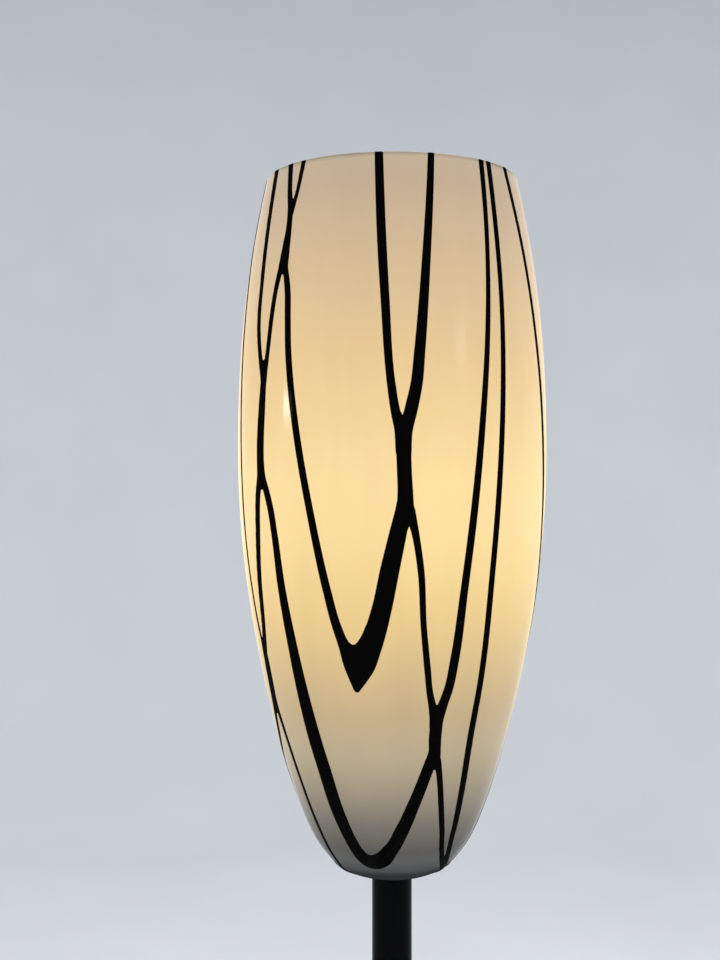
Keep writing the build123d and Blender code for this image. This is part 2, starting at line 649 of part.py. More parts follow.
def bulb_tip():
    z = BULB_Z
    return turned_polygon([(0, z), (2.4, z), (4.5, z + 0.8), (4.5, z + 3.0), (0, z + 3.0)])


def bulb_stem():
    """Glass stem that flares to the neck and carries the filaments."""
    return turned_polygon([(0, STEM_BASE_Z), (10.5, STEM_BASE_Z), (10.5, STEM_BASE_Z + 1.2),
                           (5.0, STEM_BASE_Z + 6), (3.0, STEM_BASE_Z + 14), (2.0, STEM_TOP_Z - 2),
                           (2.0, STEM_TOP_Z), (0, STEM_TOP_Z)])


def filament_ends(angle_deg):
    """Lower and upper end of one leaning filament."""
    a = math.radians(angle_deg)
    low = Vector(11 * math.cos(a), 11 * math.sin(a), STEM_TOP_Z + 2)
    high = Vector(4 * math.cos(a), 4 * math.sin(a), STEM_TOP_Z + 36)
    return low, high


def bulb_filaments():
    rods = []
    for i in range(FILAMENT_COUNT):
        low, high = filament_ends(45 + 360 / FILAMENT_COUNT * i)
        direction = high - low
        rod = Pos(0, 0, direction.length / 2) * Cylinder(0.9, direction.length)
        rods.append(Plane(low, z_dir=direction) * rod)
    return Compound(rods)


# ---- flex held inside the lamp ----
def pole_flex():
    """Twin flex from the terminal block, under the nut, up the pole and riser to the lampholder."""
    start = (0, BLOCK_Y - BLOCK_SIZE[1] / 2, WIRE_Z)
    turn_up = 7.0
    end = (0, 0, CORE_Z - GAP)
    path = FilletPolyline(start, (0, 0, WIRE_Z), end, radius=turn_up)
    solid = sweep(Plane(path @ 0, z_dir=path % 0) * Circle(FLEX_D / 2), path=path)
    share = solid.volume / (math.pi * FLEX_D ** 2 / 4 * path.length)
    print("pole flex length", round(path.length, 1), "volume share", round(share, 4))
    return solid


PIECES = {
    "base_pad": base_pad,
    "bottom_plate": bottom_plate,
    "plate_screws": plate_screws,
    "base_weight": base_weight,
    "base_cover": base_cover,
    "cord_grommet": cord_grommet,
    "terminal_block": terminal_block,
    "terminal_screws": terminal_screws,
    "earth_lug": earth_lug,
    "earth_screw": earth_screw,
    "switch_body": switch_body,
    "switch_ring": switch_ring,
    "switch_button": switch_button,
    "switch_spring": switch_spring,
    "switch_terminals": switch_terminals,
    "switch_leads": switch_leads,
    "base_stud": base_stud,
    "base_washer": base_washer,
    "base_nut": base_nut,
    "foot_collar": foot_collar,
    "foot_plug": foot_plug,
    "pole_lower": lambda: pole_section(0),
    "pole_middle": lambda: pole_section(1),
    "pole_upper": lambda: pole_section(2),
    "coupler_lower": lambda: pole_coupler(0),
    "coupler_upper": lambda: pole_coupler(1),
    "top_plug": top_plug,
    "seat_washer": seat_washer,
    "glass_shade": glass_shade,
    "clamp_washer": clamp_washer,
    "clamp_disc": clamp_disc,
    "clamp_nut": clamp_nut,
    "shade_nipple": shade_nipple,
    "riser_tube": riser_tube,
    "holder_nipple": holder_nipple,
    "holder_cap": holder_cap,
    "holder_body": holder_body,
    "holder_core": holder_core,
    "holder_terminal_screws": holder_terminal_screws,
    "screw_shell": screw_shell,
    "contact_pin": contact_pin,
    "contact_spring": contact_spring,
    "bulb_glass": bulb_glass,
    "bulb_cap": bulb_cap,
    "bulb_insulator": bulb_insulator,
    "bulb_tip": bulb_tip,
    "bulb_stem": bulb_stem,
    "bulb_filaments": bulb_filaments,
    "pole_flex": pole_flex,
}

os.makedirs("parts", exist_ok=True)
for name, make in PIECES.items():
    export_step(make(), f"parts/{name}.step")
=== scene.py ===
import math

import bpy
import numpy as np
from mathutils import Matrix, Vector


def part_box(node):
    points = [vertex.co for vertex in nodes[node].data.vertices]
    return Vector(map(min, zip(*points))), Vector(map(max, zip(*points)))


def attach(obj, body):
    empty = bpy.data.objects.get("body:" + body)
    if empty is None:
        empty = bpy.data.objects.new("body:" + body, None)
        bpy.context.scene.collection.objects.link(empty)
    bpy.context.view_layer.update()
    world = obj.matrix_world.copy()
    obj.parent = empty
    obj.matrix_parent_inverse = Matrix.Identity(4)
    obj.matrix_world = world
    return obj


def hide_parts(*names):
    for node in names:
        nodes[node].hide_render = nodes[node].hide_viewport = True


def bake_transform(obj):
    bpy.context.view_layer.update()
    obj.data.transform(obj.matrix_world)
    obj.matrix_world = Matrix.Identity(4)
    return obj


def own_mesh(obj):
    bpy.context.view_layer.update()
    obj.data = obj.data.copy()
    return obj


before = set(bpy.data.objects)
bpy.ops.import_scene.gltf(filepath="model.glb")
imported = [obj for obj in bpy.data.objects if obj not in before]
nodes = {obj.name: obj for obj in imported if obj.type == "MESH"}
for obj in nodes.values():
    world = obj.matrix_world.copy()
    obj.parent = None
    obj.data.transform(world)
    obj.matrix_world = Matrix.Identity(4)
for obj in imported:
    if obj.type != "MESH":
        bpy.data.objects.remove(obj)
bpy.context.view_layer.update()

MM = 0.001
SHADE_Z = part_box("glass_shade")[0].z        # the shade's underside

# ---------------------------------------------------------------- materials


def new_material(name):
    """A material with its node tree and its Principled shader."""
    mat = bpy.data.materials.new(name)
    mat.use_nodes = True
    tree = mat.node_tree
    return mat, tree, tree.nodes["Principled BSDF"]


def node(tree, kind, inputs=None, **settings):
    """A node with its settings, and its inputs either as values or as linked sockets."""
    made = tree.nodes.new(kind)
    for key, value in settings.items():
        setattr(made, key, value)
    for key, value in (inputs or {}).items():
        if isinstance(value, bpy.types.NodeSocket):
            tree.links.new(value, made.inputs[key])
        else:
            made.inputs[key].default_value = value
    return made


def object_coords(tree, stretch=(1, 1, 1)):
    """Object coordinates in metres, stretched along an axis for drawn or turned marks."""
    coords = node(tree, "ShaderNodeTexCoord")
    mapping = node(tree, "ShaderNodeMapping", {"Vector": coords.outputs["Object"], "Scale": stretch})
    return mapping.outputs["Vector"]


def noise(tree, scale, detail=3.0, rough=0.55, stretch=(1, 1, 1)):
    """A noise texture's grey value; scale is per metre."""
    made = node(tree, "ShaderNodeTexNoise", {"Vector": object_coords(tree, stretch), "Scale": scale,
                                             "Detail": detail, "Roughness": rough})
    return made.outputs["Fac"]


def ramp(tree, fac, stops, interpolation="LINEAR"):
    """Colour ramp from (position, (r, g, b)) stops."""
    made = node(tree, "ShaderNodeValToRGB", {"Fac": fac})
    ramp_data = made.color_ramp
    ramp_data.interpolation = interpolation
    while len(ramp_data.elements) < len(stops):
        ramp_data.elements.new(0.5)
    for element, (place, colour) in zip(ramp_data.elements, stops):
        element.position = place
        element.color = (*colour, 1)
    return made.outputs["Color"]


def spread(tree, fac, low, high, start=0.3, end=0.7):
    """A number between low and high as the texture goes from start to end."""
    made = node(tree, "ShaderNodeMapRange", {"Value": fac, "From Min": start, "From Max": end,
                                             "To Min": low, "To Max": high})
    return made.outputs["Result"]


def bump(tree, bsdf, fac, strength, distance):
    """Bump from a grey value; distance is in metres."""
    made = node(tree, "ShaderNodeBump", {"Height": fac, "Strength": strength, "Distance": distance})
    tree.links.new(made.outputs["Normal"], bsdf.inputs["Normal"])


def surface(name, dark, light, rough, grain, metallic=0.0, bumps=(0.2, 0.0001), mottle=None,
            stretch=(1, 1, 1), coat=0.0, specular=0.5):
    """A general finish: mottled colour, uneven roughness and a fine grain.

    grain is the grain's scale and mottle that of the colour patches, both per metre.
    """
    mat, tree, bsdf = new_material(name)
    patches = noise(tree, mottle or grain / 8, 4.0)
    fine = noise(tree, grain, 3.0, 0.6, stretch)
    tree.links.new(ramp(tree, patches, [(0.3, dark), (0.7, light)]), bsdf.inputs["Base Color"])
    tree.links.new(spread(tree, fine, *rough), bsdf.inputs["Roughness"])
    bsdf.inputs["Metallic"].default_value = metallic
    bsdf.inputs["Specular IOR Level"].default_value = specular
    bsdf.inputs["Coat Weight"].default_value = coat
    bump(tree, bsdf, fine, *bumps)
    return mat


def lit(mat, colour, strength):
    """Adds an even glow to a finish."""
    bsdf = mat.node_tree.nodes["Principled BSDF"]
    bsdf.inputs["Emission Color"].default_value = (*colour, 1)
    bsdf.inputs["Emission Strength"].default_value = strength
    return mat


GLOW_SPAN = 0.44         # height over which the glow's stops run, in metres


def opal_glass():
    """Glossy opal glass, its glow brightest level with the bulb; painted shade makes it greyer towards the
    foot, darker at the foot's corner and dusky at the rim.
    """
    mat, tree, bsdf = new_material("opal_glass")
    place = node(tree, "ShaderNodeSeparateXYZ", {"Vector": object_coords(tree)})
    height = node(tree, "ShaderNodeMapRange", {"Value": place.outputs["Z"], "From Min": SHADE_Z,
                                               "From Max": SHADE_Z + GLOW_SPAN, "To Min": 0.0, "To Max": 1.0})
    cloud = noise(tree, 9.0, 2.0, 0.5, (1, 1, 0.35))
    shift = spread(tree, cloud, -0.006, 0.006)
    wander = node(tree, "ShaderNodeMath", {0: height.outputs["Result"], 1: shift}, operation="ADD")
    # besides the bulb's glow these stops hold painted shade: the near-black foot with a dark line at its
    # corner, and the drop at the very rim
    glow = ramp(tree, wander.outputs["Value"],
                [(0.0, (0.017, 0.02, 0.022)), (0.0145, (0.014, 0.018, 0.023)), (0.018, (0.05, 0.052, 0.053)),
                 (0.035, (0.065, 0.066, 0.064)), (0.05, (0.055, 0.05, 0.045)), (0.09, (0.125, 0.11, 0.08)),
                 (0.13, (0.235, 0.19, 0.12)), (0.19, (0.4, 0.315, 0.18)), (0.25, (0.48, 0.345, 0.165)),
                 (0.37, (0.745, 0.515, 0.185)), (0.43, (0.83, 0.59, 0.22)), (0.49, (0.895, 0.645, 0.26)),
                 (0.56, (0.89, 0.65, 0.265)), (0.71, (0.745, 0.51, 0.215)), (0.89, (0.535, 0.38, 0.21)),
                 (0.95, (0.46, 0.325, 0.19)), (0.9875, (0.435, 0.33, 0.205)), (0.9898, (0.17, 0.13, 0.09))])
    tree.links.new(glow, bsdf.inputs["Emission Color"])
    streaks = noise(tree, 26.0, 3.0, 0.55, (1, 1, 0.16))
    tree.links.new(spread(tree, streaks, 0.957, 1.047), bsdf.inputs["Emission Strength"])
    # painted shade: the glass's own colour is kept far darker than white opal, and darker still towards the
    # foot and at the rim
    tree.links.new(ramp(tree, height.outputs["Result"],
                        [(0.0, (0.012, 0.012, 0.013)), (0.015, (0.02, 0.02, 0.021)),
                         (0.045, (0.07, 0.07, 0.069)), (0.14, (0.12, 0.118, 0.114)),
                         (0.9865, (0.12, 0.117, 0.111)), (0.9895, (0.05, 0.048, 0.045))]),
                   bsdf.inputs["Base Color"])
    tree.links.new(spread(tree, noise(tree, 40.0, 3.0), 0.08, 0.13), bsdf.inputs["Roughness"])
    tree.links.new(spread(tree, height.outputs["Result"], 0.0, 0.3, 0.02, 0.45),
                   bsdf.inputs["Specular IOR Level"])
    bsdf.inputs["IOR"].default_value = 1.5
    bump(tree, bsdf, noise(tree, 22.0, 1.0, 0.4, (1, 1, 0.4)), 0.08, 0.002)
    return mat


def black_glass():
    """Soft black glass, drawn out along its length."""
    mat, tree, bsdf = new_material("black_glass")
    drawn = noise(tree, 60.0, 2.0, 0.5, (1, 1, 0.15))
    tree.links.new(ramp(tree, drawn, [(0.3, (0.0006, 0.0006, 0.0007)), (0.7, (0.0016, 0.0013, 0.0011))]),
                   bsdf.inputs["Base Color"])
    tree.links.new(spread(tree, drawn, 0.06, 0.12), bsdf.inputs["Roughness"])
    bsdf.inputs["Specular IOR Level"].default_value = 0.0
    bsdf.inputs["Coat Weight"].default_value = 0.05
    bsdf.inputs["Coat Roughness"].default_value = 0.06
    bump(tree, bsdf, drawn, 0.06, 0.001)
    return mat


# one black powder coat in two copies: the pole's is darker with less sheen, painted shade; the foot's is a
# little lighter and glossier, painted sheen so its shape shows
POLE_COAT_PAINTED_SHADE = surface("black_powder_coat", (0.0012, 0.0012, 0.0015), (0.0021, 0.0021, 0.0026), (0.30, 0.42),
                      900, bumps=(0.25, 0.00012), mottle=25, specular=0.045)
FOOT_COAT_PAINTED_SHEEN = surface("black_powder_coat_foot", (0.0013, 0.0013, 0.0016), (0.0024, 0.0024, 0.003),
                     (0.28, 0.40), 900, bumps=(0.3, 0.00014), mottle=25, specular=0.16)
ZINC = surface("zinc_plate", (0.42, 0.43, 0.45), (0.60, 0.60, 0.58), (0.25, 0.45), 420, 1.0,
               (0.2, 0.00008), 90)
SPRING_STEEL = surface("spring_steel", (0.30, 0.30, 0.31), (0.45, 0.44, 0.43), (0.20, 0.35), 1500, 1.0,
                       (0.15, 0.00004), 300)
CAST_IRON = surface("cast_iron", (0.035, 0.034, 0.034), (0.075, 0.072, 0.070), (0.62, 0.85), 700, 0.35,
                    (0.8, 0.0005), 60)
RUBBER = surface("black_rubber", (0.014, 0.014, 0.015), (0.028, 0.028, 0.028), (0.70, 0.88), 1200,
                 bumps=(0.4, 0.0001), mottle=80)
SILICONE = surface("silicone", (0.55, 0.53, 0.48), (0.66, 0.64, 0.58), (0.35, 0.5), 900,
                   bumps=(0.2, 0.00006))
BLACK_PLASTIC = surface("black_thermoset", (0.016, 0.016, 0.018), (0.026, 0.026, 0.027), (0.24, 0.38), 1400,
                        bumps=(0.25, 0.00006), mottle=200)
WHITE_PLASTIC = surface("white_nylon", (0.66, 0.65, 0.61), (0.78, 0.77, 0.73), (0.38, 0.5), 1100,
                        bumps=(0.2, 0.00006))
BRASS = surface("brass", (0.56, 0.38, 0.14), (0.78, 0.56, 0.25), (0.18, 0.34), 900, 1.0,
                (0.15, 0.00005), 120)
INSULATION = surface("brown_insulation", (0.09, 0.04, 0.022), (0.13, 0.062, 0.035), (0.35, 0.45), 800,
                     bumps=(0.1, 0.00005))
SHEATH = surface("flex_sheath", (0.02, 0.02, 0.022), (0.032, 0.032, 0.034), (0.40, 0.55), 800,
                 bumps=(0.2, 0.00006))
CERAMIC = surface("porcelain", (0.78, 0.77, 0.73), (0.88, 0.87, 0.84), (0.08, 0.16), 300,
                  bumps=(0.1, 0.0001), mottle=60, coat=0.3)
ALUMINIUM = surface("rolled_aluminium", (0.62, 0.62, 0.63), (0.76, 0.76, 0.77), (0.2, 0.36), 900, 1.0,
                    (0.2, 0.00006), 150, (1, 1, 6))
VITRITE = surface("black_vitrite", (0.006, 0.006, 0.008), (0.014, 0.013, 0.016), (0.06, 0.14), 500,
                  bumps=(0.1, 0.00006))
SOLDER = surface("solder", (0.42, 0.41, 0.39), (0.58, 0.57, 0.54), (0.25, 0.5), 1100, 1.0,
                 (0.5, 0.0001), 350)
FROSTED = lit(surface("frosted_glass", (0.86, 0.80, 0.70), (0.92, 0.88, 0.80), (0.35, 0.5), 1500,
                      bumps=(0.1, 0.00004), mottle=40), (1.0, 0.80, 0.50), 6.0)
FILAMENT = lit(surface("phosphor_filament", (0.80, 0.55, 0.15), (0.90, 0.65, 0.22), (0.5, 0.65), 2500,
                       bumps=(0.3, 0.00005)), (1.0, 0.70, 0.35), 8.0)


def clear_glass():
    """The clear glass of the bulb's inner stem."""
    mat = surface("stem_glass", (0.90, 0.92, 0.92), (0.94, 0.95, 0.95), (0.01, 0.05), 200,
                  bumps=(0.1, 0.0001))
    mat.node_tree.nodes["Principled BSDF"].inputs["Transmission Weight"].default_value = 1.0
    return mat


STEM_GLASS = clear_glass()

FINISHES = {
    "base_cover": FOOT_COAT_PAINTED_SHEEN, "foot_collar": FOOT_COAT_PAINTED_SHEEN, "pole_lower": POLE_COAT_PAINTED_SHADE,
    "pole_middle": POLE_COAT_PAINTED_SHADE, "pole_upper": POLE_COAT_PAINTED_SHADE, "top_plug": POLE_COAT_PAINTED_SHADE, "bottom_plate": ZINC,
    "plate_screws": ZINC, "base_stud": ZINC, "base_washer": ZINC, "base_nut": ZINC, "foot_plug": ZINC,
    "coupler_lower": ZINC, "coupler_upper": ZINC, "clamp_disc": ZINC, "clamp_nut": ZINC,
    "shade_nipple": ZINC, "riser_tube": ZINC, "holder_nipple": ZINC, "earth_lug": ZINC,
    "switch_spring": SPRING_STEEL, "contact_spring": SPRING_STEEL, "base_weight": CAST_IRON,
    "base_pad": RUBBER, "cord_grommet": RUBBER, "seat_washer": RUBBER, "clamp_washer": SILICONE,
    "switch_body": BLACK_PLASTIC, "switch_ring": BLACK_PLASTIC, "switch_button": BLACK_PLASTIC,
    "holder_cap": BLACK_PLASTIC, "holder_body": BLACK_PLASTIC, "terminal_block": WHITE_PLASTIC,
    "terminal_screws": BRASS, "earth_screw": BRASS, "switch_terminals": BRASS,
    "holder_terminal_screws": BRASS, "screw_shell": BRASS, "contact_pin": BRASS,
    "switch_leads": INSULATION, "pole_flex": SHEATH, "holder_core": CERAMIC, "bulb_glass": FROSTED,
    "bulb_cap": ALUMINIUM, "bulb_insulator": VITRITE, "bulb_tip": SOLDER, "bulb_stem": STEM_GLASS,
    "bulb_filaments": FILAMENT,
}
for name, finish in FINISHES.items():
    materials = nodes[name].data.materials
    materials.clear()
    materials.append(finish)

# ---------------------------------------------------------------- the shade's outline

# radius and height of the outer wall above the shade's underside, in millimetres
FOOT = [(23.0, 0.0), (29.5, 2.3), (34.4, 4.7), (36.4, 6.4)]
WALL = [(36.4, 6.4), (46.4, 18.8), (56.4, 39.0), (65.4, 64.5), (78.6, 113.0), (89.4, 168.0), (96.0, 228.0),
        (97.0, 288.0), (93.6, 348.0), (87.0, 396.0), (79.4, 434.0)]
FOOT_TANGENT = (0.64, 0.77)
RIM_TANGENT = (-0.21, 0.98)
FOOT_START = (0.98, 0.17)
INNER_FOOT = [(33.5, 9.8), (27.5, 6.4)]
INNER_WALL_START = 22    # height above which the inner wall follows the outer one
GLASS_T = 3.1
FLOOR_T = 5.0
FLOOR_R = 20.0           # radius of the flat part of the floor
HOLE_R = 5.6
RIM_SQUARE = 0.6         # power that squares the rim's arc: 1 would make it round
RIM_RISE = 0.9           # the rim arc's height over half the glass's thickness
SECTION_STEP = 2.4       # spacing of the points along the section
SHADE_SEGMENTS = 192


def smooth_curve(points, start, end, step):
    """Cubic spline through the points with the given end directions, at even steps of about step."""
    p = np.array(points, float)
    chord = np.linalg.norm(np.diff(p, axis=0), axis=1)
    t = np.concatenate([[0], np.cumsum(chord)])
    n = len(p)
    system, right = np.zeros((n, n)), np.zeros((n, 2))
    system[0, 0] = system[-1, -1] = 1
    right[0] = np.array(start) / np.hypot(*start)
    right[-1] = np.array(end) / np.hypot(*end)
    for i in range(1, n - 1):
        a, b = chord[i - 1], chord[i]
        system[i, i - 1], system[i, i], system[i, i + 1] = b, 2 * (a + b), a
        right[i] = 3 * (b * (p[i] - p[i - 1]) / a + a * (p[i + 1] - p[i]) / b)
    slope = np.linalg.solve(system, right)
    at = np.linspace(0, t[-1], max(3, int(round(t[-1] / step)) + 1))
    i = np.clip(np.searchsorted(t, at, side="right") - 1, 0, n - 2)
    h = chord[i][:, None]
    u = ((at - t[i]) / chord[i])[:, None]
    return ((2 * u ** 3 - 3 * u ** 2 + 1) * p[i] + (u ** 3 - 2 * u ** 2 + u) * h * slope[i]
            + (3 * u ** 2 - 2 * u ** 3) * p[i + 1] + (u ** 3 - u ** 2) * h * slope[i + 1])


def outer_path(step):
    """The outer wall from the underside to the rim, as radius-height points."""
    foot = smooth_curve(FOOT, FOOT_START, FOOT_TANGENT, step)
    wall = smooth_curve(WALL, FOOT_TANGENT, RIM_TANGENT, step)
    return np.vstack([foot, wall[1:]])


def rim_arc(outer, angles):
    """Points round the rim, from the outer wall's end at angle 0 over the top to the inner wall at pi."""
    across = path_normals(outer)[-1]
    along = np.array([-across[1], across[0]])
    middle = outer[-1] - across * GLASS_T / 2
    arc = []
    for a in angles:
        side = math.copysign(abs(math.cos(a)) ** RIM_SQUARE, math.cos(a))
        arc.append(middle + GLASS_T / 2 * (across * side + RIM_RISE * along * math.sin(a) ** RIM_SQUARE))
    return np.array(arc)


def path_normals(path):
    """Outward normals of a radius-height path that runs upwards."""
    d = np.gradient(path, axis=0)
    d /= np.linalg.norm(d, axis=1)[:, None]
    return np.stack([d[:, 1], -d[:, 0]], axis=1)


def make_object(name, verts, faces, material):
    """A smooth-shaded mesh object in the scene."""
    mesh = bpy.data.meshes.new(name)
    mesh.from_pydata([tuple(v) for v in verts], [], faces)
    mesh.update()
    mesh.materials.append(material)
    mesh.polygons.foreach_set("use_smooth", [True] * len(mesh.polygons))
    obj = bpy.data.objects.new(name, mesh)
    bpy.context.scene.collection.objects.link(obj)
    return obj


def lathe(name, outline, corners, segments, material):
    """Closed solid of revolution from an outline of radius-height points, sharp at the given rows."""
    count = len(outline)
    turn = np.linspace(0, 2 * np.pi, segments, endpoint=False)
    r, z = outline[:, 0] * MM, outline[:, 1] * MM + SHADE_Z
    verts = np.stack([np.outer(r, np.cos(turn)), np.outer(r, np.sin(turn)),
                      np.repeat(z[:, None], segments, axis=1)], axis=-1).reshape(-1, 3)
    faces = []
    for i in range(count):
        below, above = i * segments, (i + 1) % count * segments
        for j in range(segments):
            k = (j + 1) % segments
            faces.append((below + j, below + k, above + k, above + j))
    obj = make_object(name, verts, faces, material)
    mesh = obj.data
    sharp = np.zeros(len(mesh.edges), bool)
    pairs = np.empty(len(mesh.edges) * 2, int)
    mesh.edges.foreach_get("vertices", pairs)
    pairs = pairs.reshape(-1, 2) // segments
    for row in corners:
        sharp |= (pairs[:, 0] == row) & (pairs[:, 1] == row)
    mesh.attributes.new("sharp_edge", "BOOLEAN", "EDGE").data.foreach_set("value", sharp)
    return obj


def shade_outline():
    """The glass in section, from the underside up, over the rim and down inside, and its sharp rows."""
    outer = outer_path(SECTION_STEP)
    normals = path_normals(outer)
    arc = rim_arc(outer, np.linspace(0, math.pi, 17)[1:-1])
    inner_wall = (outer - normals * GLASS_T)[outer[:, 1] > INNER_WALL_START][::-1]
    lowest, tangent = inner_wall[-1], inner_wall[-1] - inner_wall[-2]
    inner_foot = smooth_curve([lowest, *INNER_FOOT, (FLOOR_R, FLOOR_T)], tangent, (-1, 0), SECTION_STEP)[1:]
    outline = np.vstack([[(HOLE_R, 0.0)], outer, arc, inner_wall, inner_foot, [(HOLE_R, FLOOR_T)]])
    return outline, (0, len(outline) - 1)


OPAL = opal_glass()
THREAD_GLASS = black_glass()

outline, corners = shade_outline()
shade = lathe("shade_glass", outline, corners, SHADE_SEGMENTS, OPAL)
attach(shade, "stand")
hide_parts("glass_shade")

# ---------------------------------------------------------------- the drawn black threads

# Each thread is a run of (angle in degrees, height in mm, width in mm). Angle 0 faces the front and grows
# to the right seen from the front; height is above the shade's underside.
FRONT_THREADS = [
    # two threads that meet high on the front, run down as one and part again
    [(-5.4, 438, 5), (-3.5, 378, 5.4), (-2.4, 350, 5.2), (0, 297, 5), (1.2, 284, 5.5), (3, 272, 7),
     (3.8, 262, 8)],
    [(16.8, 438, 4), (13, 379, 5), (9.5, 318, 6.5), (8.3, 299, 7), (6.5, 285, 7.5), (4.8, 273, 7.5),
     (4, 262, 8)],
    [(3.8, 270, 8.5), (4.2, 250, 8.5), (4.5, 239, 8.8), (4.6, 229, 9.8)],
    # left branch, thickening into the pointed drop
    [(4.2, 230, 9), (2, 214, 10), (-0.7, 194, 11), (-3.8, 171, 11.5), (-6, 159, 12.3), (-8.4, 148, 12.6),
     (-10.4, 139, 11.6), (-12.6, 131.5, 8.4), (-14.2, 124.5, 3.2)],
    # right branch, thin
    [(6.4, 227, 5.5), (8.4, 212, 4.3), (10.2, 194, 4), (11.9, 161, 3.7), (14.2, 136, 4), (15.5, 124, 4),
     (17.5, 113, 5), (19, 104, 6.5)],
    # the thread from the left that joins the drop
    [(-43.6, 372, 4.5), (-41, 356, 5), (-40, 341, 5), (-39, 322, 5), (-37.7, 305, 5), (-34, 268, 5),
     (-29.4, 228, 5), (-24, 182, 5.5), (-21.3, 163, 5.8), (-18.7, 150, 6.4), (-16.7, 139, 7.4),
     (-14.5, 125.5, 3.4)],
    # glass that fills the crotch over the drop
    [(-20.2, 161.6, 2.2), (-19, 156, 2.7), (-17.8, 152.9, 2.8), (-16.5, 150.7, 2.8), (-14.7, 149.6, 2.8),
     (-13.1, 150.7, 2.8), (-11.9, 152.8, 2.8), (-10.5, 156.1, 2.7), (-9, 161.2, 2.2)],
    [(-14.5, 146, 6.4), (-14.5, 136, 9), (-14.5, 126, 3.4)],
    # three thin threads at the upper left, and what they run into
    [(-62, 438, 6), (-60, 406, 5.5), (-58.2, 368, 5), (-57, 335, 4.7), (-55.7, 325, 4.5),
     (-52.4, 306, 5)],
    [(-49.7, 438, 4.7), (-46.5, 415, 4.5), (-44.9, 407, 5), (-44.1, 396, 5), (-44.3, 381, 7.2),
     (-44.5, 374, 8), (-44.5, 370, 6.6)],
    [(-41, 438, 3.8), (-42.1, 416, 3.3), (-43.5, 404, 3.4)],
    [(-45.6, 373, 5), (-47.7, 357, 4.4), (-48.7, 344, 4.4), (-50, 321, 4.3), (-51.5, 304, 5.2)],
    [(-51.9, 314, 5), (-51.9, 305, 6), (-52.4, 291, 7.2), (-53.4, 262, 8), (-53.2, 244, 8)],
    # thin branch to the edge, and the great loop across the bottom
    [(-53.9, 248, 6), (-55.2, 240, 6), (-57.4, 213, 6), (-60, 182, 6), (-61, 167, 5.8),
     (-62.6, 154, 5.8), (-64.8, 144, 7.2)],
    [(-52.7, 256, 4.6), (-51.5, 245, 5.8), (-50, 239, 6), (-47.9, 228, 6), (-46.6, 215, 6),
     (-45, 182, 7), (-42.7, 147, 8.3), (-40, 110, 10), (-38.2, 92, 10.4), (-36, 75, 10.3),
     (-31.6, 44, 9.4), (-27.4, 29.5, 8.6), (-24.6, 23, 8.9), (-21.4, 18.8, 10.2), (-14.4, 16.2, 13),
     (-9.8, 17.4, 12.4), (-1.4, 25, 9.6), (6.3, 39, 8.6), (11.9, 55, 7.8), (20, 86, 7.4)],
    # the far left thread, seen edge-on
    [(-83, 438, 3.2), (-79.5, 400, 3.3), (-75.8, 368, 3.4), (-73.2, 310, 3.2), (-71.3, 246, 3),
     (-70, 192, 3), (-68, 157, 3.2), (-67, 148, 3.6), (-65.8, 140, 7.6), (-65.8, 130, 8.8),
     (-66.8, 108, 9.2)],
    [(-67.4, 110, 6.6), (-69.4, 104, 5.6), (-72.6, 91, 5.6), (-76, 82, 5.6), (-82, 70, 5),
     (-87, 52, 4.6), (-90, 30, 4.2), (-91, 0, 3.6)],
    [(-65.6, 112, 5.4), (-62.2, 94, 4), (-59, 71, 3.5), (-56, 44, 3.3), (-53.7, 24, 3.2),
     (-55.3, 11, 3.4), (-61, 0, 3.2)],
    # right-hand threads
    [(41.8, 438, 4.2), (38.3, 378, 3.5), (34.7, 315, 4), (31.8, 268, 4.6), (29.5, 228, 5),
     (27, 182, 5.2), (25.2, 141, 6), (23.8, 125, 6), (21.6, 114, 6.5), (20, 106, 7.7), (19.7, 98, 8),
     (20.9, 80, 6.8)],
    [(22.4, 81, 4.4), (24.8, 69.5, 3.9), (28.2, 53, 3.9), (32.5, 37, 3.8), (39, 21, 3.6),
     (44.6, 14.6, 3.6), (52, 9.5, 3.6), (66, 3.2, 3.2), (73, 1, 3)],
    [(46.4, 438, 4.4), (44.5, 394, 4.2), (43.2, 345, 4), (41.6, 288, 4.3), (40, 239, 4.5),
     (39, 193, 4.6), (39.3, 128, 4.8), (38.8, 92, 5), (40.3, 62, 5), (42.3, 39, 4.7), (43.6, 28, 4.3),
     (46.9, 19.5, 4.3), (57.5, 8, 4.4), (63.5, 3, 4.2)],
    [(59.2, 438, 4.7), (62.8, 387, 4.6), (66.4, 337, 4.6), (69, 307, 4.8), (73.2, 246, 4.9),
     (76.4, 207, 4.3), (79, 188, 4.3), (87, 148, 4.6), (89.4, 125, 5.2), (89, 100, 6.5)],
]
